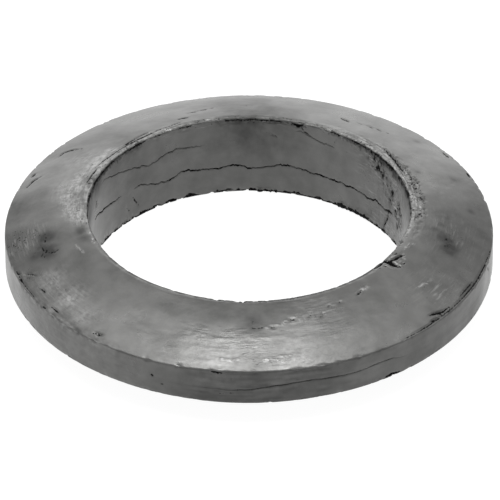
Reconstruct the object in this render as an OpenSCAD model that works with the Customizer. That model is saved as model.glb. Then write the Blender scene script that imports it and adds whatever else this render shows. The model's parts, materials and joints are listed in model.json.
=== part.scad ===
// Exhaust doughnut gasket: one ring of pressed graphite.
// A straight bore slips over the pipe end. Both faces are domed and taper from a narrow land at the bore
// down to a short straight rim, so either face seals in a flared flange.
// Millimetres, +Z along the bore axis, origin at the centre of the lower land, where the ring rests.

/* [Ring] */
// Outside diameter of the rim
outer_d = 78; // [70:0.5:90]
// Diameter of the bore, a slip fit over the pipe
bore_d = 51.3; // [45:0.1:56]
// Height of the ring along the bore, from land to land
ring_h = 14.4; // [12:0.1:20]
// Height of the straight wall of the rim
rim_h = 5.8; // [3:0.1:8]

/* [Sealing faces] */
// Radius of the dome of each sealing face, seen in section
dome_r = 55; // [40:1:120]
// Width of the flat land between the bore and each sealing face
land_w = 0.9; // [0.6:0.1:2]

/* [Edges] */
// Radius worn on both edges of the bore
bore_edge_r = 0.4; // [0.2:0.05:0.5]
// Radius worn on both edges of the rim
rim_edge_r = 0.4; // [0.2:0.05:1]

/* [Worn places] */
// Depth of the slits where the pressed layers have parted
slit_depth = 0.8; // [0.3:0.1:1.5]
// Width of those slits at the surface
slit_w = 0.24; // [0.16:0.02:0.5]
// Depth of the tear in the upper face beside the bore
tear_depth = 1; // [0.4:0.1:1.5]
// Width of that tear at the surface
tear_w = 0.7; // [0.4:0.05:1]

/* [Hidden] */
$fn = 180;

// Courses of the slits in the bore and the rim: angle from the right-hand side, height from mid-height
main_slit = [
  [25, -1.8], [28, -1.9], [31, -2.3], [37, -2], [41, -2.5], [48, -2.3], [54, -2.4], [59, -2.3], [63, -2],
  [66, -2.3], [70, -1.8], [77, -1.5], [81, -1.9], [86, -2.5], [90, -2.5], [96, -1.9], [101, -2.4],
  [107, -2.2], [113, -1.7], [116, -1.8], [119, -2.5], [122, -2.8], [125, -2.4], [128, -2.1], [133, -1.2],
  [137, -1]
];
branch_slit = [[28.5, -3], [29.5, -4.2], [31, -5.4], [32, -6.2]];
left_slit = [[142, -1.1], [146, -1], [150, -0.8], [156, -0.5], [160, 0], [164, 0.4]];
upper_slit = [
  [108, 2.5], [113, 2.9], [117, 3.1], [122, 2.7], [125, 2.2], [129, 1.8], [134, 2.5], [139, 3], [143, 3.6],
  [149, 4.3], [156, 5.3]
];
short_slit = [[58, 4.2], [64, 4.5], [68, 5], [70, 6]];
rim_slit = [
  [260, -0.4], [265, -0.5], [270, -0.4], [275, 0.1], [281, 0.5], [285, 0.6], [289, 0.4], [296, 0.3],
  [302, 0.7], [305, 0.6], [309, 0]
];
// Courses of the two arms of the tear: angle from the right-hand side, distance out from the bore
tear_arms = [
  [[319.5, 0.3], [323.8, 0.5], [325.2, 1.2], [325.4, 2], [326.4, 3]],
  [[325, 1], [328, 1.3], [332, 1.9]]
];
// How far each cutting wedge stands off the surface it opens
stand_off = 0.3;

bore_r = bore_d / 2;
outer_r = outer_d / 2;
mid_h = ring_h / 2;

// Each dome runs from the outer edge of its land to the edge of the rim
land_edge = [bore_r + land_w, mid_h];
rim_edge = [outer_r, rim_h / 2];

// Centre of the dome's arc: on the perpendicular through the middle of its chord, on the inner side
chord = rim_edge - land_edge;
chord_mid = (land_edge + rim_edge) / 2;
inward = [chord.y, -chord.x] / norm(chord);
dome_centre = chord_mid + inward * sqrt(dome_r ^ 2 - norm(chord) ^ 2 / 4);

// Centres of the edge radii: each is tangent to both of the surfaces that meet at its edge
bore_edge_centre = [bore_r + bore_edge_r, mid_h - bore_edge_r];
rim_edge_x = outer_r - rim_edge_r;
rim_edge_drop = sqrt((dome_r - rim_edge_r) ^ 2 - (rim_edge_x - dome_centre.x) ^ 2);
rim_edge_centre = [rim_edge_x, dome_centre.y + rim_edge_drop];
dome_to_edge = (rim_edge_centre - dome_centre) / norm(rim_edge_centre - dome_centre);
rim_edge_on_dome = rim_edge_centre + rim_edge_r * dome_to_edge;

// Swaps a sharp corner of the section for an arc between two tangent points
module round_corner(corner, from, to, centre, radius) {
  difference() {
    children();
    difference() {
      overshoot = corner + (corner - centre) * 0.5;
      polygon([from, overshoot, to]);
      translate(centre) circle(r = radius);
    }
  }
}

// Upper half of the ring's section, from the mid-height plane up: the wall inside the dome's arc
module half_section() {
  round_corner(
    [bore_r, mid_h], [bore_r, bore_edge_centre.y], [bore_edge_centre.x, mid_h],
    bore_edge_centre, bore_edge_r
  )
    round_corner(
      rim_edge, [outer_r, rim_edge_centre.y], rim_edge_on_dome,
      rim_edge_centre, rim_edge_r
    )
      intersection() {
        translate([bore_r, 0]) square([outer_r - bore_r, mid_h]);
        translate(dome_centre) circle(r = dome_r, $fn = 720);
      }
}

// Height of the upper face above mid-height, at a radius on its dome
function face_height(radius) =
  let (reach = max(radius, land_edge.x) - dome_centre.x)
    dome_centre.y + sqrt(dome_r ^ 2 - reach ^ 2);

// Direction across a course at one of its points, square to the way to its neighbours
function crosswise(course, k) =
  let (way = course[min(k + 1, len(course) - 1)] - course[max(k - 1, 0)])
    [-way.y, way.x] / norm(way);

// Share of the full width and depth at a point of a course: its ends run out to a point
function openness(course, k) = k == 0 || k == len(course) - 1 ? 0.1 : 1;

// Solid between three lines of points: the two edges of a cut's mouth, and its root
module wedge(left, right, root) {
  count = len(root);
  polyhedron(
    concat(left, right, root),
    concat(
      [[0, count, 2 * count], [count - 1, 3 * count - 1, 2 * count - 1]],
      [
        for (k = [0:count - 2], side = [0:2])
          let (near = side * count + k, far = (side + 1) % 3 * count + k)
            each [[near, near + 1, far + 1], [near, far + 1, far]]
      ]
    )
  );
}

// Slit in a round wall: outward is 1 on the rim, and -1 on the bore, where the mouth faces the axis
module slit(course, wall_r, outward) {
  flat = [for (spot = course) [spot[0] * PI / 180 * wall_r, spot[1]]];
  mouth_r = wall_r + outward * stand_off;
  mouth_w = slit_w * (slit_depth + stand_off) / slit_depth;
  function on_wall(place, radius) =
    let (bearing = place.x * 180 / PI / wall_r)
      [radius * cos(bearing), radius * sin(bearing), place.y];
  function edge(lean) = [
    for (k = [0:len(flat) - 1])
      on_wall(flat[k] + lean * crosswise(flat, k) * openness(flat, k) * mouth_w / 2, mouth_r)
  ];
  root = [
    for (k = [0:len(flat) - 1]) on_wall(flat[k], wall_r - outward * slit_depth * openness(flat, k))
  ];
  wedge(edge(outward), edge(-outward), root);
}

// Arm of the tear in the upper face, cut straight down
module tear_arm(course) {
  flat = [for (spot = course) (bore_r + spot[1]) * [cos(spot[0]), sin(spot[0])]];
  mouth_w = tear_w * (tear_depth + stand_off) / tear_depth;
  function at_height(place, rise) = [place.x, place.y, face_height(norm(place)) + rise];
  function edge(lean) = [
    for (k = [0:len(flat) - 1])
      at_height(flat[k] + lean * crosswise(flat, k) * openness(flat, k) * mouth_w / 2, stand_off)
  ];
  root = [for (k = [0:len(flat) - 1]) at_height(flat[k], -tear_depth * openness(flat, k))];
  wedge(edge(1), edge(-1), root);
}

// The whole ring: the section and its mirror image, turned about the bore axis, less its slits and its tear
module graphite_ring() {
  color("dimgray")
    translate([0, 0, mid_h])
      difference() {
        rotate_extrude() {
          half_section();
          mirror([0, 1]) half_section();
        }
        for (course = [main_slit, branch_slit, left_slit, upper_slit, short_slit]) slit(course, bore_r, -1);
        slit(rim_slit, outer_r, 1);
        for (course = tear_arms) tear_arm(course);
      }
}

graphite_ring();
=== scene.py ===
import json
import math

import bpy
import numpy as np
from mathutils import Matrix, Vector


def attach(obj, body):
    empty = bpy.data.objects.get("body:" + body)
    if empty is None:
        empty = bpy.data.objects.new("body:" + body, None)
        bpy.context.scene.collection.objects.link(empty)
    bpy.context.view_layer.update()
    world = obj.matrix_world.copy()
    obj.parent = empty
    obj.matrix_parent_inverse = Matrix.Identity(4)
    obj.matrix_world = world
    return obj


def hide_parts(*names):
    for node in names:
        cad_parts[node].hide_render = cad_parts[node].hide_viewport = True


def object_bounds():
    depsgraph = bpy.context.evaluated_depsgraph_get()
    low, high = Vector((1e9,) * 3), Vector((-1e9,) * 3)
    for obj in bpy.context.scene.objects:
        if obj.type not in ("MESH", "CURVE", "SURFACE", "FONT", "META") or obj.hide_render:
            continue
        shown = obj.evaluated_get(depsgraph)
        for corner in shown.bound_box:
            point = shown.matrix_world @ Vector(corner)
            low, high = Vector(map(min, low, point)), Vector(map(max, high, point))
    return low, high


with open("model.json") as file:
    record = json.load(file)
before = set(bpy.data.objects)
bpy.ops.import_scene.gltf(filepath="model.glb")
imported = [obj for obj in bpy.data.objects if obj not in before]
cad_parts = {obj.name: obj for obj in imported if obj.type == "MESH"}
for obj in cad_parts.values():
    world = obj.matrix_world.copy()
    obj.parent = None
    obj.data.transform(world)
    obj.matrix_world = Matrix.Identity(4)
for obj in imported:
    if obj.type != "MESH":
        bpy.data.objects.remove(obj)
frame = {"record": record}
cad_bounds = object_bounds()

# The pressed body: one doughnut of flake graphite, pressed dry in a die. Its straight bore slips over the
# pipe end, and both faces are domed so that either one seats in a flared flange.
# Sizes are in millimetres, heights count up from the lower land, and angles are in degrees from the right.
mm_per_metre = 1000
bore_radius = frame["record"]["mounts"][0]["dims"]["r_mm"]
rim_radius = round(cad_bounds[1][0] * mm_per_metre, 3)
ring_height = round(cad_bounds[1][2] * mm_per_metre, 3)
rim_wall_height = 5.8
dome_radius = 55.0
land_width = 0.9
lip_radius = 0.4
shoulder_radius = 0.4

columns = 680
angle = np.arange(columns) * 360.0 / columns
turn = np.radians(angle)[:, None]

# Centre of the dome's arc, from the land's outer edge, the rim's edge and the dome's radius
land_edge = np.array([bore_radius + land_width, ring_height])
rim_edge = np.array([rim_radius, (ring_height + rim_wall_height) / 2])
chord = rim_edge - land_edge
chord_length = np.hypot(chord[0], chord[1])
inward = np.array([chord[1], -chord[0]]) / chord_length
dome_centre = (land_edge + rim_edge) / 2 + inward * math.sqrt(dome_radius ** 2 - chord_length ** 2 / 4)

# Centre of the shoulder's arc, which touches the rim wall and the dome from inside
shoulder_x = rim_radius - shoulder_radius
shoulder_rise = math.sqrt((dome_radius - shoulder_radius) ** 2 - (shoulder_x - dome_centre[0]) ** 2)
shoulder_centre = np.array([shoulder_x, dome_centre[1] + shoulder_rise])
shoulder_start = math.atan2(shoulder_rise, shoulder_x - dome_centre[0])
dome_start = math.atan2(land_edge[1] - dome_centre[1], land_edge[0] - dome_centre[0])


def dome_height(radius):
    """Height of the upper face at a radius: the land's height, or the dome's circle outside the land."""
    drop = np.sqrt(dome_radius ** 2 - (np.maximum(radius, land_edge[0]) - dome_centre[0]) ** 2)
    return dome_centre[1] + drop


# Delaminations run round the bore and the rim where layers of the pressing part. Each track gives the height
# of one of them at some angles, and the grid's rows bend to follow it.
main_track = np.interp(
    angle,
    [10, 27, 31, 37, 41, 48, 59, 63, 66, 70, 77, 81, 86, 90, 96, 101, 107, 113, 116, 119, 122, 125, 128, 133,
     142, 150, 156, 163, 180, 270],
    [5.6, 5.4, 4.9, 5.2, 4.7, 4.9, 4.9, 5.2, 4.9, 5.4, 5.7, 5.3, 4.7, 4.7, 5.3, 4.8, 5.0, 5.5, 5.4, 4.7, 4.4,
     4.8, 5.1, 6.0, 6.1, 6.4, 6.7, 7.5, 6.6, 5.4],
    period=360,
)
upper_track = np.interp(
    angle,
    [40, 59, 64, 68, 71, 80, 100, 110, 117, 122, 129, 134, 139, 143, 149, 155, 180],
    [11.2, 11.4, 11.7, 12.2, 12.9, 11.4, 9.7, 9.8, 10.3, 9.9, 9.0, 9.7, 10.2, 10.8, 11.5, 12.5, 10.5],
    period=360,
)
seam_track = np.interp(
    angle,
    [240, 262, 266, 270, 275, 281, 285, 289, 296, 302, 305, 308, 330],
    [7.0, 6.8, 6.7, 6.8, 7.3, 7.7, 7.8, 7.6, 7.5, 7.9, 7.8, 7.2, 7.2],
    period=360,
)
jag_size = 0.09
jog_size = 0.12
jog_columns = 4
seam_share = 0.5
jag = np.random.default_rng(11).uniform(-jag_size, jag_size, (3, columns))


def jog(seed):
    """Steps up and down along a track: one random height for each run of jog_columns columns."""
    steps = np.random.default_rng(seed).uniform(-jog_size, jog_size, columns // jog_columns)
    return np.repeat(steps, jog_columns)


main_track += jag[0] + jog(12)
upper_track += jag[1] + jog(13)
seam_track += jag[2] * seam_share

# Rows beside a track, as distances from it, and a slit's depth at each, as a share of its full depth
crack_rows = np.array([-0.5, -0.22, -0.1, -0.05, 0.0, 0.05, 0.1, 0.22, 0.5])
crack_shape = np.array([0.0, 0.0, 0.1, 0.7, 1.0, 0.7, 0.1, 0.0, 0.0])


def between(low, high, count):
    """Rows at even steps between two heights in each column, without either end."""
    share = (np.arange(count) + 1.0) / (count + 1)
    return low[:, None] + (high - low)[:, None] * share


# Rows of the grid up the bore and down the rim: even steps between the ends and the tracks
foot_rows = 7
middle_rows = 7
upper_rows = 5
rim_rows = 4
main_row = 1 + foot_rows
upper_row = main_row + len(crack_rows) + middle_rows
seam_row = 1 + rim_rows
level = np.ones(columns)
bore_low = level * lip_radius
bore_high = level * (ring_height - lip_radius)
rim_high = level * shoulder_centre[1]
rim_low = ring_height - rim_high
bore_height = np.concatenate([
    bore_low[:, None],
    between(bore_low, main_track + crack_rows[0], foot_rows),
    main_track[:, None] + crack_rows,
    between(main_track + crack_rows[-1], upper_track + crack_rows[0], middle_rows),
    upper_track[:, None] + crack_rows,
    between(upper_track + crack_rows[-1], bore_high, upper_rows),
    bore_high[:, None],
], axis=1)
rim_height = np.concatenate([
    rim_high[:, None],
    between(rim_high, seam_track + crack_rows[-1], rim_rows),
    seam_track[:, None] + crack_rows[::-1],
    between(seam_track + crack_rows[0], rim_low, rim_rows),
    rim_low[:, None],
], axis=1)


def wall(radius, height, facing):
    """A straight wall: constant radius, the given heights, and a normal along the radius."""
    return [np.full(height.shape, radius), height, np.full(height.shape, facing), np.zeros(height.shape)]


def arc(centre, radius, bearing):
    """Part of a circle in the section: centre plus radius along each bearing, which is also the normal."""
    across = np.cos(bearing) * level[:, None]
    up = np.sin(bearing) * level[:, None]
    return [centre[0] + radius * across, centre[1] + radius * up, across, up]


def land(radius, height):
    """The flat land: the given radii at one height, with a normal straight up."""
    spread = np.ones((columns, len(radius)))
    return [radius * spread, height * spread, 0 * spread, spread]


def turned_over(block):
    """A block of the section mirrored in the mid-height plane, with its rows in reverse order."""
    radius, height, across, up = [part[:, ::-1] for part in block]
    return [radius, ring_height - height, across, -up]


def middles(count):
    """The middles of that many even steps from 0 to 1."""
    return (np.arange(count) + 0.5) / count


lip_rows = 6
shoulder_rows = 5
land_rows = 3
lip_centre = np.array([bore_radius + lip_radius, ring_height - lip_radius])
lip_bearing = np.radians(180.0 - 90.0 * middles(lip_rows))
shoulder_bearing = shoulder_start * (1 - middles(shoulder_rows))
land_radius = lip_centre[0] + (land_edge[0] - lip_centre[0]) * middles(land_rows)
fine_share = np.concatenate([
    np.linspace(0.0, 0.2, 12), np.linspace(0.22, 0.8, 22), np.linspace(0.82, 0.99, 10),
])
coarse_share = np.linspace(0.0, 0.99, 15)
dome_sweep = shoulder_start - dome_start
upper_lip = arc(lip_centre, lip_radius, lip_bearing)
shoulder = arc(shoulder_centre, shoulder_radius, shoulder_bearing)
blocks = {
    "bore": wall(bore_radius, bore_height, -1.0),
    "lip": upper_lip,
    "land": land(land_radius, ring_height),
    "dome": arc(dome_centre, dome_radius, dome_start + dome_sweep * fine_share),
    "shoulder": shoulder,
    "rim": wall(rim_radius, rim_height, 1.0),
    "low shoulder": turned_over(shoulder),
    "low dome": turned_over(arc(dome_centre, dome_radius, dome_start + dome_sweep * coarse_share)),
    "low land": turned_over(land(land_radius, ring_height)),
    "low lip": turned_over(upper_lip),
}
radius, height, normal_across, normal_up = [
    np.concatenate([block[k] for block in blocks.values()], axis=1) for k in range(4)
]
rows = radius.shape[1]
first_row = dict(zip(blocks, np.cumsum([0] + [block[0].shape[1] for block in blocks.values()])))
skin = np.stack([radius * np.cos(turn), radius * np.sin(turn), height], axis=-1)
facing = np.stack([normal_across * np.cos(turn), normal_across * np.sin(turn), normal_up], axis=-1)

# Way round the section at each row, as a share of the whole way round
step = np.hypot(np.diff(radius, axis=1, append=radius[:, :1]), np.diff(height, axis=1, append=height[:, :1]))
girth = np.cumsum(step, axis=1) / step.sum(axis=1, keepdims=True)


def ease(value, start, stop):
    """Smooth step: 0 before start, 1 past stop, eased between them."""
    share = np.clip((value - start) / (stop - start), 0, 1)
    return share * share * (3 - 2 * share)


def mottle(cells_around, cells_across, seed):
    """Smooth field from -1 to 1: random values on a lattice that closes both ways, eased between nodes."""
    lattice = np.random.default_rng(seed).uniform(-1, 1, (cells_around, cells_across))
    along = np.broadcast_to(angle[:, None] / 360 * cells_around, girth.shape)
    over = girth * cells_across
    cell_along = np.floor(along).astype(int)
    cell_over = np.floor(over).astype(int)
    share_along = ease(along - cell_along, 0, 1)
    share_over = ease(over - cell_over, 0, 1)
    near = cell_along % cells_around
    far = (cell_along + 1) % cells_around
    left = cell_over % cells_across
    right = (cell_over + 1) % cells_across
    low = lattice[near, left] * (1 - share_along) + lattice[far, left] * share_along
    high = lattice[near, right] * (1 - share_along) + lattice[far, right] * share_along
    return low * (1 - share_over) + high * share_over


def around(*pairs):
    """A strength for each column: straight lines between (angle, strength) pairs, closed at 360 degrees."""
    angles = [pair[0] for pair in pairs]
    strengths = [pair[1] for pair in pairs]
    return np.interp(angle, angles, strengths, period=360)[:, None]


def on_wall(wall_radius, pairs):
    """Points on a straight wall of that radius from (angle, height) pairs."""
    spot = np.radians([pair[0] for pair in pairs])
    heights = [pair[1] for pair in pairs]
    return np.stack([wall_radius * np.cos(spot), wall_radius * np.sin(spot), heights], axis=-1)


def on_bore(*pairs):
    """Points on the bore wall from (angle, height) pairs."""
    return on_wall(bore_radius, pairs)


def on_rim(*pairs):
    """Points on the rim wall from (angle, height) pairs."""
    return on_wall(rim_radius, pairs)


def on_face(*pairs):
    """Points on the upper face from (angle, radius) pairs."""
    spot = np.radians([pair[0] for pair in pairs])
    reach = np.array([pair[1] for pair in pairs])
    return np.stack([reach * np.cos(spot), reach * np.sin(spot), dome_height(reach)], axis=-1)


def distance_to(line):
    """Least distance from each grid point to a line's straight stretches, and the share along it there."""
    nearest = np.full(radius.shape, np.inf)
    share_there = np.zeros(radius.shape)
    stretches = len(line) - 1
    for k in range(stretches):
        span = line[k + 1] - line[k]
        share = np.clip(((skin - line[k]) @ span) / (span @ span), 0, 1)
        gap = np.linalg.norm(skin - line[k] - share[..., None] * span, axis=-1)
        share_there = np.where(gap < nearest, (k + share) / stretches, share_there)
        nearest = np.minimum(nearest, gap)
    return nearest, share_there


def lay(field, strength):
    """Lays a mark into a field: at each point, the greater of the field and the mark's strength."""
    np.maximum(field, strength, out=field)


# Fields over the grid. Relief is the height of the skin off the die's surface, in millimetres. Crack is 0.5
# at a crack's edge and changes by one unit per millimetre across it; it also holds painted shade under the
# lip. The others
# are strengths: grey dirt with painted shade, polish where flakes are rubbed bright with painted highlights,
# creep where the skin has wrinkled, and flaking.
relief = np.zeros(radius.shape)
crack = np.zeros(radius.shape)
smudge = np.zeros(radius.shape)
polish = np.zeros(radius.shape)
creep = np.zeros(radius.shape)
flaking = np.zeros(radius.shape)
crack_edge = 0.5

# Random fields, each for one kind of texture
broad = mottle(16, 6, 5)
swell = mottle(48, 20, 6)
crumble = mottle(230, 110, 3)
grain = mottle(340, 150, 1)
fine_grain = mottle(680, 240, 2)
round_fibre = mottle(64, 240, 7)
cross_fibre = mottle(560, 26, 8)
ragged = crumble + 0.6 * fine_grain
uneven = mottle(90, 60, 14)

# Which side of the ring each point is on, by its normal, and how far it is from each edge
side_start = 0.5
side_stop = 0.85
upper_side = ease(normal_up, side_start, side_stop)
under_side = ease(-normal_up, side_start, side_stop)
bore_side = ease(-normal_across, side_start, side_stop)
rim_side = ease(normal_across, side_start, side_stop)
from_lip = np.hypot(radius - bore_radius, ring_height - height)
from_foot = np.hypot(radius - bore_radius, height)
from_shoulder = np.hypot(radius - rim_radius, height - rim_edge[1])
from_low_shoulder = np.hypot(radius - rim_radius, height - ring_height + rim_edge[1])

# As pressed: the surface is never quite even. The rim is kept just inside its full radius.
rim_inset = 0.03
relief += (upper_side + under_side) * (0.06 * broad + 0.03 * swell + 0.008 * grain)
relief += bore_side * (0.03 * broad + 0.01 * round_fibre + 0.006 * grain)
relief += rim_side * (0.02 * swell + 0.008 * grain - rim_inset)

# The delaminations: thin dark slits along their tracks, which fade out at both ends. Each has its wall, its
# first row there, how far it is open at each angle, its depth and its half width.
main_open = around(
    (25, 0), (29, 0.7), (40, 1), (74, 0.9), (80, 0.6), (88, 0.9), (104, 0.6), (112, 0.9), (128, 0.7),
    (134, 0.45), (137, 0), (143, 0), (148, 0.6), (155, 0.9), (161, 0.7), (165, 0),
)
upper_open = around(
    (57, 0), (60, 0.35), (68, 0.5), (71, 0.4), (73, 0), (106, 0), (112, 0.35), (120, 0.6), (131, 0.65),
    (137, 0.4), (148, 0.35), (158, 0),
)
seam_open = around(
    (258, 0), (264, 0.3), (271, 0.6), (276, 0.8), (286, 0.7), (296, 0.5), (303, 0.4), (311, 0),
)
closed_slit = 0.38
flutter = 0.9 + 0.55 * mottle(180, 20, 4)[:, :1]
slits = (
    ("bore", main_row, main_open, 0.5, 0.27),
    ("bore", upper_row, upper_open, 0.4, 0.22),
    ("rim", seam_row, seam_open, 0.35, 0.21),
)
for face, start, opening, depth, half_width in slits:
    band = slice(first_row[face] + start, first_row[face] + start + len(crack_rows))
    gape = np.clip(opening * flutter, 0, 1)
    relief[:, band] -= depth * gape * crack_shape
    crack[:, band] = np.clip(closed_slit + half_width * gape - np.abs(crack_rows), 0, 1)

# Tears and gouges: each a line on one face, its half width and its depth. Their edges are lifted a little.
tears = (
    (on_bore((28.5, 5.3), (29, 4.0), (30.5, 2.6), (32.5, 0.6)), 0.13, 0.3),
    (on_bore((26, 5.5), (29, 5.2), (31.5, 4.8)), 0.1, 0.2),
    (on_bore((137.5, 4.6), (136, 3.4), (134.5, 2.2)), 0.13, 0.15),
    (on_bore((141, 3.3), (139, 2.0)), 0.13, 0.12),
    (on_bore((36, 12.0), (34.5, 11.4)), 0.14, 0.25),
    (on_bore((27, 10.3), (25.5, 9.9)), 0.15, 0.25),
    (on_bore((22, 4.9), (21, 3.6)), 0.14, 0.25),
    (on_bore((71, 13.8), (69.5, 12.8), (66, 12.0)), 0.06, 0.15),
    (on_bore((58, 11.4), (57, 12.6), (55.5, 13.6)), 0.05, 0.1),
    (on_bore((78, 10.1), (80.5, 11.2), (84, 11.8)), 0.04, 0.1),
    (on_bore((162, 10.4), (163.5, 9.0)), 0.14, 0.2),
    (on_bore((98.5, 14.0), (94, 13.85), (89.5, 14.0)), 0.2, 0.4),
    (on_bore((86.5, 14.0), (82, 13.9), (79, 14.0)), 0.17, 0.35),
    (on_bore((74, 14.0), (72, 13.6), (70.5, 13.9)), 0.24, 0.4),
    (on_face((324.6, 25.8), (325.2, 26.6), (325.4, 27.3), (325.6, 28.0)), 0.42, 0.9),
    (on_face((326.0, 26.8), (328.6, 27.1), (330.2, 27.2), (332, 27.6)), 0.24, 0.6),
    (on_face((319.3, 25.95), (321.5, 26.1), (324.2, 25.95)), 0.2, 0.45),
    (on_face((325.6, 28.0), (326.5, 28.7)), 0.2, 0.4),
    (on_face((327.6, 28.4), (328.8, 28.7)), 0.12, 0.2),
    (on_face((322.2, 26.8), (323.2, 27.0)), 0.1, 0.15),
    (on_face((320.3, 26.6), (321.2, 26.7)), 0.1, 0.15),
    (on_face((329.5, 26.4), (331.2, 26.6)), 0.12, 0.2),
    (on_face((318.5, 37.4), (320.5, 37.8), (322.5, 38.2), (325, 38.3)), 0.17, 0.35),
    (on_face((317.5, 38.3), (320.5, 38.7)), 0.15, 0.3),
    (on_face((321, 37.7), (321.8, 38.7)), 0.12, 0.3),
    (on_face((308, 38.75), (316, 38.7), (326, 38.75)), 0.1, 0.2),
    (on_face((324, 38.75), (331, 38.7), (338, 38.75), (345, 38.7), (351, 38.8)), 0.125, 0.25),
    (on_face((330, 38.2), (337, 38.3)), 0.14, 0.15),
    (on_face((270.5, 31.5), (272, 31.2), (274, 31.4)), 0.13, 0.3),
    (on_face((275, 31.7), (277, 31.3), (279.5, 31.1)), 0.1, 0.2),
    (on_face((282, 30.1), (283, 30.4), (284, 30.2)), 0.14, 0.25),
    (on_face((287, 30.6), (288.5, 30.1), (289, 29.7)), 0.11, 0.2),
    (on_face((291, 30.8), (292, 30.5), (292.5, 30.0)), 0.11, 0.2),
    (on_face((305.5, 28.9), (307, 28.7), (308.5, 28.4)), 0.14, 0.3),
    (on_face((298.5, 29.3), (299.5, 28.9)), 0.11, 0.2),
    (on_face((294.5, 29.3), (296, 29.0)), 0.1, 0.15),
    (on_face((230.3, 38.0), (231.2, 37.5)), 0.15, 0.3),
    (on_face((231.6, 38.0), (232.6, 37.5)), 0.15, 0.3),
    (on_face((155, 27.2), (150, 27.0), (147, 26.8), (142, 26.75), (136, 26.6), (129, 26.6), (122, 26.7),
             (114, 27.1)), 0.14, 0.2),
    (on_face((138, 27.0), (131, 27.2), (125, 27.4)), 0.12, 0.1),
    (on_face((166, 26.9), (160, 26.9), (156, 26.7)), 0.13, 0.15),
    (on_face((150, 36.3), (146.5, 36.1), (145, 35.0), (144, 33.4)), 0.15, 0.2),
    (on_face((164, 37.5), (160.5, 36.9), (158.5, 35.8)), 0.14, 0.15),
    (on_face((158.2, 37.8), (156.8, 37.6)), 0.22, 0.2),
    (on_face((111, 30.2), (105, 30.6), (100, 31.2)), 0.13, 0.1),
    (on_face((94, 31.2), (88, 31.3)), 0.11, 0.05),
    (on_face((114, 28.4), (110, 28.3)), 0.15, 0.15),
    (on_face((61.5, 31.4), (58, 30.9)), 0.2, 0.3),
    (on_face((57, 31.6), (50, 32.3), (46, 32.8)), 0.12, 0.12),
    (on_face((38, 27.8), (34, 27.5), (28, 27.2), (22, 27.1)), 0.17, 0.4),
    (on_face((34, 37.9), (31, 37.9)), 0.2, 0.2),
    (on_face((24, 38.6), (22, 38.4)), 0.25, 0.2),
    (on_face((209, 38.7), (203, 38.7), (198, 38.6)), 0.08, 0.2),
    (on_face((190.5, 32.7), (192, 33.1), (193, 32.9)), 0.1, 0.1),
    (on_face((193.5, 33.9), (195.5, 33.7), (197.5, 33.2)), 0.13, 0.15),
    (on_face((197.5, 33.2), (198.4, 32.4), (198, 31.6)), 0.13, 0.15),
    (on_face((197.2, 34.6), (198.6, 34.0)), 0.1, 0.1),
    (on_face((194.4, 34.8), (195.4, 35.2)), 0.1, 0.1),
    (on_face((199, 38.5), (201.5, 37.2), (204, 36.1)), 0.12, 0.15),
    (on_face((201.5, 38.2), (203, 37.4)), 0.1, 0.1),
    (on_face((207.5, 37.3), (211, 37.0)), 0.12, 0.1),
    (on_face((215.5, 38.0), (219, 38.1)), 0.12, 0.1),
    (on_face((198.4, 38.7), (199.4, 38.5)), 0.2, 0.3),
    (on_face((200.8, 38.7), (202, 38.7)), 0.2, 0.3),
    (on_face((213.4, 38.8), (214.4, 38.7)), 0.18, 0.25),
    (on_rim((303.5, 4.6), (305.5, 4.4), (307, 4.5)), 0.35, 0.4),
    (on_rim((261.5, 10.0), (263, 9.7), (264.5, 9.6)), 0.22, 0.3),
    (on_rim((247, 7.4), (247.5, 7.3)), 0.2, 0.25),
    (on_rim((249.5, 6.2), (250.5, 6.2)), 0.18, 0.2),
    (on_rim((12, 10.1), (13.5, 10.0)), 0.35, 0.5),
    (on_rim((263, 6.0), (268, 6.1)), 0.1, 0.1),
    (on_rim((346, 9.4), (347, 8.2)), 0.16, 0.2),
)
tear_slope = 0.14
lifted_share = 0.15
lifted_place = 0.25
lifted_width = 0.18
for line, half_width, depth in tears:
    gap, share = distance_to(line)
    taper = np.clip(3 * np.minimum(share, 1 - share), 0.2, 1)
    inside = ease(1 - gap / (half_width + tear_slope) + 0.2 * fine_grain, 0, 0.9)
    lifted = np.exp(-((gap - half_width - lifted_place) / lifted_width) ** 2)
    relief += depth * taper * (lifted_share * lifted - inside)
    lay(crack, np.clip(crack_edge + half_width * (0.55 + 0.45 * taper) - gap, 0, 1))

# Upper lip of the bore: the pressed edge has crumbled, most at the back and on the right
lip_loss = 0.35
shade_middle = 0.35
lip_wear = around(
    (0, 0.9), (45, 0.9), (62, 0.7), (80, 0.8), (105, 0.8), (120, 0.75), (150, 0.7), (180, 0.55), (205, 0.25),
    (240, 0.15), (256, 0.45), (280, 0.45), (300, 0.25), (316, 0.6), (335, 0.6),
)
near_lip = 1 - ease(from_lip, 0.3, 0.9)
relief -= lip_loss * lip_wear * near_lip * ease(0.6 * ragged + 0.6 * uneven, 0.0, 0.8)
# Just below the lip on the bore side, a dark band laid in as crack: painted shade under the lip's edge, with
# a crumbled border
lip_shade = around(
    (0, 0.6), (40, 0.8), (62, 0.6), (75, 0.4), (105, 0.4), (130, 0.85), (165, 1), (184, 0.8), (196, 0.2),
    (215, 0), (306, 0), (316, 0.7), (330, 0.9), (342, 0.5),
)
lip_crumbs = 0.17 * (0.6 * ragged + uneven)
from_shade = np.abs(ring_height - height - shade_middle)
lay(crack, bore_side * np.clip(0.34 + 0.18 * lip_shade + lip_crumbs - 0.6 * from_shade, 0, 1))
lay(flaking, lip_wear * (1 - ease(from_lip, 0.5, 1.3)))

# Front part of the lip: painted shade over its inner edge, and small chips
chip_depth = 0.28
front_lip_shade = around((196, 0), (212, 0.8), (318, 0.8), (334, 0))
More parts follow.
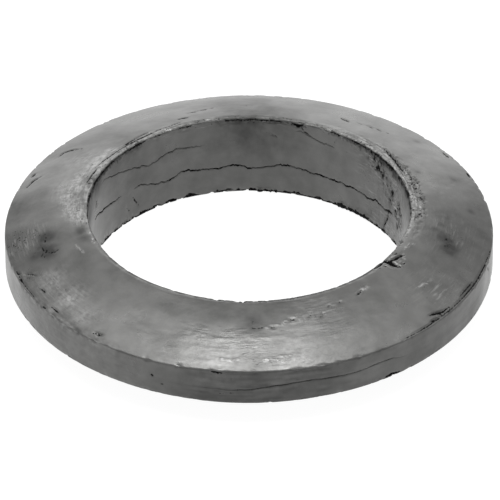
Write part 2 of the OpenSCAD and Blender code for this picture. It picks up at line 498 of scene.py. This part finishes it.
# Painted shade along the inner edge of the front lip
lay(smudge, front_lip_shade * (1 - ease(from_lip + 0.2 * ragged, 0.3, 0.7)))
front_chips = around((254, 0), (258, 0.9), (286, 0.9), (298, 0.3), (310, 0))
front_chips = front_chips * (1 - ease(from_lip, 0.4, 0.9))
relief -= chip_depth * front_chips * ease(ragged, 0.0, 0.6)
lay(crack, front_chips * np.clip(0.3 + 0.42 * ragged, 0, 0.62))

# Top of the bore wall on the left and the right: painted shade under the lip, grey with black specks, which
# hangs down to a depth that differs by angle
under_lip_shade_depth = around(
    (352, 1.2), (5, 2.2), (22, 2.0), (36, 1.1), (50, 0.7), (66, 0.4), (140, 0.5), (152, 0.9), (165, 1.8),
    (178, 2.6), (188, 2.6),
)
under_lip_shade = around(
    (348, 0), (2, 1), (46, 1), (60, 0.5), (72, 0), (126, 0), (140, 0.7), (152, 1), (182, 1), (192, 0),
)
# Painted shade under the lip: grey, with black specks
below_lip = ring_height - height + 0.6 * ragged
under_lip_shade = under_lip_shade * bore_side * (1 - ease(below_lip, 0.5 * under_lip_shade_depth, under_lip_shade_depth))
lay(smudge, under_lip_shade)
lay(crack, under_lip_shade * np.clip(0.47 + 0.3 * ragged, 0, 0.65))

# Left part of the lip: a band rubbed bright by the pipe, and a fretted patch that spreads from it
left_band_radius = 26.3
left_band = around((108, 0), (120, 0.7), (140, 1), (170, 1), (186, 0.5), (198, 0)) * upper_side
left_band = left_band * (1 - ease(np.abs(radius - left_band_radius) + 0.25 * crumble, 0.4, 1.0))
relief += left_band * 0.06 * round_fibre
lay(polish, left_band * (0.7 + 0.4 * round_fibre))
lay(flaking, 0.7 * left_band)
fretted_line = on_face((145, 27.0), (156, 27.5), (165, 28.5), (173, 28.8), (181, 27.9), (187, 26.9))
fretted_gap = distance_to(fretted_line)[0] + 0.5 * swell + 0.35 * crumble + 0.2 * fine_grain
fretted = upper_side * (1 - ease(fretted_gap, 0.5, 2.6))
lay(polish, 0.65 * fretted)
lay(flaking, 0.6 * fretted)

# Right part of the lip: a crumbling, fibrous band with a painted highlight along its inner edge, and pits
# outside it
right_band_radius = 26.5
pit_radius = 27.4
pit_depth = 0.3
right_band = around((340, 0), (352, 0.6), (4, 1), (46, 0.9), (58, 0.4), (66, 0)) * upper_side
right_band = right_band * (1 - ease(np.abs(radius - right_band_radius) + 0.35 * crumble, 0.5, 1.2))
relief += right_band * (0.12 * round_fibre + 0.1 * ragged - 0.1)
lay(polish, 0.8 * right_band * ease(round_fibre + 0.5 * fine_grain, -0.5, 0.7))
lay(flaking, 0.8 * right_band)
pits = around((350, 0), (356, 0.9), (18, 1), (26, 0.8), (38, 0.7), (52, 0)) * upper_side
pits = pits * (1 - ease(np.abs(radius - pit_radius) + 0.3 * uneven, 0.4, 1.1))
relief -= pit_depth * pits * ease(ragged, 0.1, 0.7)
lay(crack, pits * np.clip(0.26 + 0.42 * ragged, 0, 0.62))
lay(flaking, pits)
# A painted highlight along the lip's rounded inner edge
lip_edge_highlight = around((336, 0), (346, 0.8), (30, 0.8), (55, 0.5), (66, 0))
lay(polish, 0.8 * lip_edge_highlight * (1 - ease(np.abs(from_lip - 0.5), 0.1, 0.3)))

# Right end of the bore: upright striations, and nicks along a slanting line
nick_depth = 0.25
striated = around((4, 0), (14, 0.8), (38, 0.8), (52, 0)) * bore_side
relief += striated * 0.05 * (cross_fibre - 0.3)
lay(crack, striated * np.clip(0.45 * cross_fibre + 0.3 * crumble, 0, 0.6))
lay(flaking, 0.5 * striated)
nicked_line = on_bore((38, 12.8), (31, 11.0), (26, 8.2), (20.5, 6.6))
nicked = bore_side * (1 - ease(distance_to(nicked_line)[0], 0.8, 3.2))
strokes = mottle(380, 64, 15) + 0.5 * fine_grain
relief -= nick_depth * nicked * ease(strokes, 0.1, 0.7)
lay(crack, nicked * np.clip(0.27 + 0.5 * strokes, 0, 0.65))
lay(flaking, 0.8 * nicked)

# Foot of the bore: the lower edge is ragged and black, with two burrs, each a line and its thickness
foot_loss = 0.4
burr_height = 0.4
foot_wear = around((5, 0.5), (40, 1), (60, 0.9), (95, 1), (130, 1), (160, 0.8), (200, 0.6), (300, 0.6))
relief -= foot_loss * (1 - ease(from_foot, 0.3, 0.9)) * ease(ragged, 0.0, 0.7)
foot_reach = foot_wear * (0.55 + 0.2 * ragged + 0.4 * uneven)
foot_side = ease(-normal_across, -0.3, 0.2)
lay(crack, foot_side * np.clip(crack_edge + foot_reach - from_foot, 0, 1))
burrs = (
    (on_bore((87, 0.4), (80, 0.4)), 0.4),
    (on_bore((55, 0.5), (48, 0.7), (41, 0.7)), 0.6),
)
for line, thickness in burrs:
    gap = distance_to(line)[0]
    relief += burr_height * ease(1 - gap / thickness + 0.5 * ragged, 0.1, 0.8)
    lay(crack, np.clip(0.3 + thickness - gap + 0.3 * ragged, 0, 1))

# Shoulder between dome and rim: rubbed round at the front left, with a painted highlight there, and lightly
# chipped all round
rounding = 0.18
shoulder_chip = 0.12
low_shoulder_chip = 0.15
shoulder_wear_and_sheen = around((200, 0.0), (208, 0.7), (222, 1), (234, 0.7), (244, 0))
relief -= rounding * shoulder_wear_and_sheen * (1 - ease(from_shoulder, 0.1, 1.4))
# The polish on the front-left shoulder is a painted highlight
lay(polish, 0.35 * shoulder_wear_and_sheen * (1 - ease(from_shoulder, 0.3, 1.6)) * (0.8 + 0.5 * grain))
relief -= shoulder_chip * (1 - ease(from_shoulder, 0.2, 0.7)) * ease(ragged, 0.2, 0.9)
relief -= low_shoulder_chip * (1 - ease(from_low_shoulder, 0.2, 0.8)) * ease(ragged, 0.1, 0.9)

# Front of the upper face: fine wrinkles where the skin has crept. Flakes stand up there and in a few other
# places, each a line with its half width, its rise and the strength of a painted glint on it.
wrinkle_rise = 0.03
crept = around((236, 0), (252, 0.9), (288, 1), (302, 0.5), (318, 0)) * upper_side
crept = crept * ease(radius, 30.5, 33) * (1 - ease(radius, 38.2, 38.8))
relief += wrinkle_rise * crept * mottle(70, 90, 9)
lay(creep, crept * (0.7 + 0.5 * swell))
flakes = (
    (on_face((263.5, 37.1), (267, 37.2)), 0.3, 0.06, 0.9),
    (on_face((274, 37.0), (277, 37.1), (279.5, 36.8)), 0.45, 0.072, 0.9),
    (on_face((327.4, 27.8), (330.6, 28.1)), 0.24, 0.06, 0.8),
    (on_face((327.2, 26.3), (329.6, 26.7)), 0.2, 0.06, 0.8),
    (on_face((283, 30.7), (286, 30.5)), 0.2, 0.048, 0.35),
    (on_face((274.5, 31.5), (279, 31.0), (281, 30.4)), 0.16, 0.036, 0.3),
    (on_face((308.5, 28.3), (311, 28.4)), 0.25, 0.036, 0.6),
    (on_face((324, 33.1), (330, 33.5)), 0.25, 0.024, 0.7),
    (on_face((335, 27.1), (339, 27.7)), 0.25, 0.036, 0.8),
    (on_face((200, 29.2), (205, 28.6)), 0.2, 0.03, 0.6),
    (on_face((202, 26.4), (195, 26.2)), 0.25, 0.03, 0.8),
)
for line, half_width, rise, glint in flakes:
    gap = distance_to(line)[0]
    stand = ease(1 - gap / half_width + 0.9 * fine_grain + 0.4 * crumble, 0.3, 0.8)
    relief += rise * stand
    # Painted glint on each raised flake
    lay(polish, glint * stand)
    lay(flaking, 0.5 * (1 - ease(gap, half_width, 2 * half_width)))

# Rim wall: painted shade, darkest at the front, and a painted sheen that makes it a little brighter on the
# left
rim_painted_shade = around((245, 0), (260, 0.65), (286, 0.7), (300, 0.25), (335, 0.35), (352, 0))
lay(smudge, rim_side * rim_painted_shade * (0.9 + 0.3 * round_fibre))
rim_painted_sheen = around((170, 0.12), (205, 0.12), (240, 0.06), (250, 0), (350, 0), (10, 0.06))
lay(polish, rim_side * rim_painted_sheen)

# Round spots of dirt and painted shade, of rubbed skin and painted highlight, of flaking skin, and of soot:
# each a place, a spread and a strength
dirt_and_shade_spots = (
    (on_face((191, 32.7)), 2.0, 1.2),
    (on_face((196.5, 33.4)), 2.2, 1.5),
    (on_face((194, 33.8)), 1.8, 1.2),
    (on_face((192, 31.8)), 2.6, 0.6),
    (on_face((196, 35.0)), 1.9, 1.1),
    (on_face((186, 37.0)), 3.2, 0.6),
    (on_face((172, 36.6)), 4.2, 0.65),
    (on_face((193.5, 27.3)), 1.1, 1.0),
    (on_face((198, 27.2)), 1.2, 0.9),
    (on_face((207, 30.0)), 2.4, 0.4),
    (on_face((216, 31.0)), 2.4, 0.3),
    (on_face((347.5, 31.8)), 2.3, 1.1),
    (on_face((344, 33.2)), 2.5, 1.2),
    (on_face((350, 29.9)), 1.0, 0.8),
    (on_face((353.5, 30.8)), 0.9, 0.7),
    (on_face((358, 31.6)), 0.9, 0.8),
    (on_face((1, 33.2)), 1.0, 0.85),
    (on_face((4.5, 35.6)), 0.9, 1.0),
    (on_face((352, 33.4)), 2.6, 0.7),
    (on_face((0, 32.2)), 2.8, 0.55),
    (on_face((2, 36.0)), 3.0, 0.35),
    (on_face((19, 34.8)), 0.6, 0.7),
    (on_face((22, 29.2)), 0.5, 0.6),
    (on_face((40, 35.6)), 0.6, 0.6),
    (on_face((355, 35.8)), 3.6, 0.45),
    (on_face((271, 30.2)), 2.2, 0.9),
    (on_face((267, 28.4)), 2.4, 0.6),
    (on_face((276, 27.8)), 2.4, 0.5),
    (on_face((262, 29.4)), 2.2, 0.35),
    # These four on the bore are painted shade: the bore's darker middle, and the shade under the lip on the
    # left
    (on_bore((90, 12.0)), 9.0, 0.6),
    (on_bore((140, 11.5)), 8.0, 0.4),
    (on_bore((174, 11.8)), 2.8, 1.0),
    (on_bore((162, 13.2)), 2.2, 0.8),
)
rubbed_and_sheen_spots = (
    (on_face((168, 29.5)), 3.0, 0.4),
    (on_face((150, 30.0)), 3.4, 0.35),
    # These five, at the front left and the front, are painted highlight
    (on_face((209, 35.4)), 2.4, 0.6),
    (on_face((217, 35.6)), 2.6, 0.65),
    (on_face((224, 36.6)), 2.2, 0.5),
    (on_face((262, 36.5)), 4.0, 0.35),
    (on_face((280, 36.5)), 4.0, 0.35),
)
scaly = (
    (on_face((188, 36.5)), 3.6, 1.0),
    (on_face((350, 33.0)), 4.5, 0.6),
    (on_face((328, 35.0)), 4.0, 0.4),
    (on_face((290, 30.0)), 4.0, 0.5),
    (on_face((270, 36.0)), 5.0, 0.35),
    (on_face((211, 35.6)), 3.6, 0.8),
)
sooty = (
    (on_face((191.2, 32.7)), 1.6, 0.42),
    (on_face((197, 33.6)), 2.0, 0.43),
    (on_face((345, 32.8)), 2.2, 0.49),
    (on_face((348, 31.8)), 1.8, 0.46),
    (on_face((350, 29.9)), 1.2, 0.46),
    (on_face((271.5, 30.4)), 1.4, 0.44),
)
soft = 0.85 + 0.35 * swell + 0.15 * grain
speckled = 0.85 + 0.4 * ragged
marks = ((smudge, dirt_and_shade_spots, soft), (polish, rubbed_and_sheen_spots, soft), (flaking, scaly, soft), (crack, sooty, speckled))
for field, spots, texture in marks:
    for place, spread, strength in spots:
        gap = np.linalg.norm(skin - place, axis=-1)
        lay(field, strength * np.exp(-(gap / spread) ** 2) * texture)

# The mesh: the skin moved out by its relief, and kept inside the rim's radius and the ring's height
deepest = -1.5
proudest = 0.4
points = skin + facing * np.clip(relief, deepest, proudest)[..., None]
reach = np.hypot(points[..., 0], points[..., 1])
points[..., :2] *= np.minimum(1, rim_radius / reach)[..., None]
points[..., 2] = np.clip(points[..., 2], 0, ring_height)
column, row = np.meshgrid(np.arange(columns), np.arange(rows), indexing="ij")
next_column = (column + 1) % columns
next_row = (row + 1) % rows
quads = np.stack([
    column * rows + row,
    column * rows + next_row,
    next_column * rows + next_row,
    next_column * rows + row,
], axis=-1)
ring_mesh = bpy.data.meshes.new("graphite_doughnut")
ring_mesh.from_pydata(points.reshape(-1, 3) / mm_per_metre, [], quads.reshape(-1, 4))
ring_mesh.shade_smooth()
fields = {"crack": crack, "smudge": smudge, "polish": polish, "creep": creep, "flaking": flaking}
for name, field in fields.items():
    layer = ring_mesh.attributes.new(name, "FLOAT", "POINT")
    layer.data.foreach_set("value", np.clip(field, 0, 1).astype(np.float32).ravel())
ring = bpy.data.objects.new("graphite_doughnut", ring_mesh)
bpy.context.scene.collection.objects.link(ring)

# The material: grey flakes, brighter where rubbed and where highlights are painted, dull where dirty and
# where shade is painted, and black inside cracks and pits and in the painted shade under the lip
graphite = bpy.data.materials.new("pressed_graphite")
graphite.use_nodes = True
nodes = graphite.node_tree.nodes
links = graphite.node_tree.links
shader = nodes["Principled BSDF"]
shader.inputs["Metallic"].default_value = 0.55
shader.inputs["IOR"].default_value = 1.5
position = nodes.new("ShaderNodeTexCoord").outputs["Object"]


def cloud(scale, detail):
    """Noise in object space, with that many cells in a metre and that many finer layers."""
    noise = nodes.new("ShaderNodeTexNoise")
    noise.inputs["Scale"].default_value = scale
    noise.inputs["Detail"].default_value = detail
    links.new(position, noise.inputs["Vector"])
    return noise.outputs["Fac"]


def reading(name):
    """One of the fields stored on the mesh."""
    reader = nodes.new("ShaderNodeAttribute")
    reader.attribute_name = name
    return reader.outputs["Fac"]


def ramp(value, low, high, start, stop):
    """Straight-line map of a value from low..high to start..stop, held at both ends."""
    line = nodes.new("ShaderNodeMapRange")
    line.inputs["From Min"].default_value = low
    line.inputs["From Max"].default_value = high
    line.inputs["To Min"].default_value = start
    line.inputs["To Max"].default_value = stop
    links.new(value, line.inputs["Value"])
    return line.outputs["Result"]


def tinted(share, first, second):
    """Mix of two colours, or of a colour and an earlier mix, by a share."""
    blend = nodes.new("ShaderNodeMix")
    blend.data_type = "RGBA"
    links.new(share, blend.inputs["Factor"])
    for socket, colour in ((blend.inputs["A"], first), (blend.inputs["B"], second)):
        if isinstance(colour, tuple):
            socket.default_value = colour
        else:
            links.new(colour, socket)
    return blend.outputs["Result"]


def combined(operation, first, second):
    """Arithmetic on two values, either of them a number or a socket."""
    arithmetic = nodes.new("ShaderNodeMath")
    arithmetic.operation = operation
    for socket, value in zip(arithmetic.inputs, (first, second)):
        if isinstance(value, float):
            socket.default_value = value
        else:
            links.new(value, socket)
    return arithmetic.outputs["Value"]


def fibres(fineness, turns):
    """Noise drawn out along the ring: fine in radius and height, slow in the angle, so it has no seam."""
    flat = nodes.new("ShaderNodeVectorMath")
    flat.operation = "MULTIPLY"
    flat.inputs[1].default_value = (1, 1, 0)
    links.new(position, flat.inputs[0])
    reach = nodes.new("ShaderNodeVectorMath")
    reach.operation = "LENGTH"
    links.new(flat.outputs["Vector"], reach.inputs[0])
    bearing = nodes.new("ShaderNodeVectorMath")
    bearing.operation = "NORMALIZE"
    links.new(flat.outputs["Vector"], bearing.inputs[0])
    heading = nodes.new("ShaderNodeSeparateXYZ")
    links.new(bearing.outputs["Vector"], heading.inputs["Vector"])
    place = nodes.new("ShaderNodeSeparateXYZ")
    links.new(position, place.inputs["Vector"])
    drawn = nodes.new("ShaderNodeCombineXYZ")
    noise = nodes.new("ShaderNodeTexNoise")
    noise.noise_dimensions = "4D"
    noise.inputs["Scale"].default_value = 1
    noise.inputs["Detail"].default_value = 4
    noise.inputs["Roughness"].default_value = 0.6
    links.new(drawn.outputs["Vector"], noise.inputs["Vector"])
    for measure, factor, socket in (
        (reach.outputs["Value"], fineness, drawn.inputs["X"]),
        (place.outputs["Z"], fineness, drawn.inputs["Y"]),
        (heading.outputs["X"], turns, drawn.inputs["Z"]),
        (heading.outputs["Y"], turns, noise.inputs["W"]),
    ):
        links.new(combined("MULTIPLY", measure, float(factor)), socket)
    return noise.outputs["Fac"]


# The bright colour is for rubbed flakes and for painted highlights, the grey for dirt and painted shade, the
# black for cracks and painted shade
dark_flake = (0.095, 0.095, 0.092, 1)
light_flake = (0.145, 0.145, 0.141, 1)
bright_flake_and_sheen = (0.36, 0.36, 0.355, 1)
dirt_and_shade_grey = (0.035, 0.035, 0.034, 1)
crack_and_shade_black = (0.003, 0.003, 0.003, 1)
flaked = reading("flaking")
layers = fibres(2400, 13)

# Black: cracks with a crumbled edge, painted shade under the lip, and small pits where the skin flakes
crumb = ramp(cloud(2600, 2), 0.2, 0.8, -0.1, 0.1)
torn = ramp(combined("ADD", reading("crack"), crumb), 0.46, 0.54, 0.0, 1.0)
pit_noise = combined("ADD", cloud(2000, 4), ramp(flaked, 0.0, 1.0, 0.0, 0.1))
pitted = combined("MULTIPLY", ramp(pit_noise, 0.69, 0.74, 0.0, 1.0), flaked)
black_share = combined("MAXIMUM", torn, pitted)

# Bright: streaks where the skin is rubbed and where highlights are painted, and the edges of layers where it
# flakes
streaks = ramp(combined("ADD", cloud(1300, 6), layers), 0.8, 1.2, 0.1, 1.4)
scales = combined("MULTIPLY", ramp(layers, 0.55, 0.66, 0.0, 0.9), flaked)
bright_share = combined("MAXIMUM", combined("MULTIPLY", reading("polish"), streaks), scales)

flake_share = ramp(combined("ADD", cloud(70, 5), cloud(360, 5)), 0.75, 1.25, 0.0, 1.0)
# Dirt and painted shade darken the colour here
dirt_and_shade_share = combined("MULTIPLY", reading("smudge"), ramp(cloud(500, 5), 0.3, 0.7, 0.75, 1.1))
colour = tinted(flake_share, dark_flake, light_flake)
colour = tinted(bright_share, colour, bright_flake_and_sheen)
colour = tinted(dirt_and_shade_share, colour, dirt_and_shade_grey)
colour = tinted(black_share, colour, crack_and_shade_black)
links.new(colour, shader.inputs["Base Color"])

roughness = ramp(cloud(160, 5), 0.3, 0.7, 0.24, 0.38)
roughness = combined("ADD", roughness, ramp(dirt_and_shade_share, 0.0, 1.0, 0.0, 0.3))
roughness = combined("ADD", roughness, ramp(black_share, 0.0, 1.0, 0.0, 0.6))
links.new(roughness, shader.inputs["Roughness"])

# Fine relief: a tooth all over, wrinkles in patches of the crept front, and the layers where the skin flakes
wrinkles = ramp(fibres(1300, 14), 0.36, 0.64, 0.0, 2.4)
crept_patches = combined("MULTIPLY", reading("creep"), ramp(cloud(260, 3), 0.38, 0.6, 0.1, 1.0))
tooth_height = combined("MULTIPLY", cloud(900, 4), 0.8)
tooth_height = combined("ADD", tooth_height, combined("MULTIPLY", wrinkles, crept_patches))
layer_height = combined("MULTIPLY", flaked, ramp(layers, 0.35, 0.65, 0.0, 2.0))
tooth_height = combined("ADD", tooth_height, layer_height)
tooth = nodes.new("ShaderNodeBump")
tooth.inputs["Strength"].default_value = 0.5
tooth.inputs["Distance"].default_value = 0.00006
links.new(tooth_height, tooth.inputs["Height"])
links.new(tooth.outputs["Normal"], shader.inputs["Normal"])
ring_mesh.materials.append(graphite)
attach(ring, "root")
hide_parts("graphite_ring")

# The table: a matt white sheet, wide enough to fill every view, that the ring lies loose on.
# It glows, so that it comes out pure white, and is grey by itself, so that it throws little light back.
table_half = 4.0
table_grey = (0.16, 0.16, 0.16, 1)
table_glow = 0.94
table_corners = [(-1, -1), (1, -1), (1, 1), (-1, 1)]
table_mesh = bpy.data.meshes.new("table")
table_mesh.from_pydata([(x * table_half, y * table_half, 0) for x, y in table_corners], [], [(0, 1, 2, 3)])
table = bpy.data.objects.new("table", table_mesh)
bpy.context.scene.collection.objects.link(table)
white = bpy.data.materials.new("white_table")
white.use_nodes = True
white_shader = white.node_tree.nodes["Principled BSDF"]
white_shader.inputs["Base Color"].default_value = table_grey
white_shader.inputs["Roughness"].default_value = 0.9
white_shader.inputs["Emission Color"].default_value = (1, 1, 1, 1)
white_shader.inputs["Emission Strength"].default_value = table_glow
white_shader.inputs["Specular IOR Level"].default_value = 0.0
table_mesh.materials.append(white)

# The camera: a long lens about a metre off, which looks down on the ring from the front. Its aim, rise,
# distance and focal length were fitted to the edges of the ring in the photo. Lengths here are in metres.
camera_target = Vector((0.00016, 0, 0.00611))
camera_rise = math.radians(34.75)
camera_distance = 0.991
toward_camera = Vector((0, -math.cos(camera_rise), math.sin(camera_rise)))
camera_data = bpy.data.cameras.new("camera")
camera_data.sensor_width = 36
camera_data.lens = 446
camera_data.clip_start = 0.01
camera = bpy.data.objects.new("camera", camera_data)
camera.location = camera_target + toward_camera * camera_distance
camera.rotation_mode = "QUATERNION"
camera.rotation_quaternion = toward_camera.to_track_quat("Z", "Y")
bpy.context.scene.collection.objects.link(camera)
bpy.context.scene.camera = camera
bpy.context.scene.view_settings.view_transform = "Standard"

# The light: a dim white room with two softboxes overhead, a panel behind, one at each side and a fill in
# front. They are flat diffusers out of the camera's sight. Lengths here are in metres.
room_brightness = 0.45
world = bpy.data.worlds.new("studio")
world.use_nodes = True
room = world.node_tree.nodes["Background"]
room.inputs["Color"].default_value = (1, 1, 1, 1)
room.inputs["Strength"].default_value = room_brightness
bpy.context.scene.world = world


def softbox(name, place, aim, width, depth, brightness):
    """A flat diffuser that faces its aim point. Its power is brightness times pi times its area."""
    lamp = bpy.data.lights.new(name, "AREA")
    lamp.shape = "RECTANGLE"
    lamp.size = width
    lamp.size_y = depth
    lamp.energy = brightness * math.pi * width * depth
    box = bpy.data.objects.new(name, lamp)
    box.location = place
    box.rotation_mode = "QUATERNION"
    box.rotation_quaternion = (Vector(place) - Vector(aim)).to_track_quat("Z", "Y")
    box.visible_camera = False
    bpy.context.scene.collection.objects.link(box)


softbox("top_softbox", (-0.04, 0.06, 1.0), (-0.04, 0.06, 0), width=0.92, depth=0.62, brightness=2.6)
softbox("top_lamp", (0, -0.09, 0.98), (0, -0.09, 0), width=0.42, depth=0.42, brightness=4.2)
softbox("back_panel", (-0.12, 2.0, 0.9), (-0.12, 0, 0.9), width=1.7, depth=1.8, brightness=1.35)
softbox("left_panel", (-0.84, 0.34, 1.2), (0, 0, 0), width=1.3, depth=0.6, brightness=1.0)
softbox("right_panel", (0.84, 0.34, 1.2), (0, 0, 0), width=1.3, depth=0.6, brightness=1.0)
softbox("front_fill", (0, -1.8, 1.08), (0, 0, 0), width=3.4, depth=0.8, brightness=0.28)
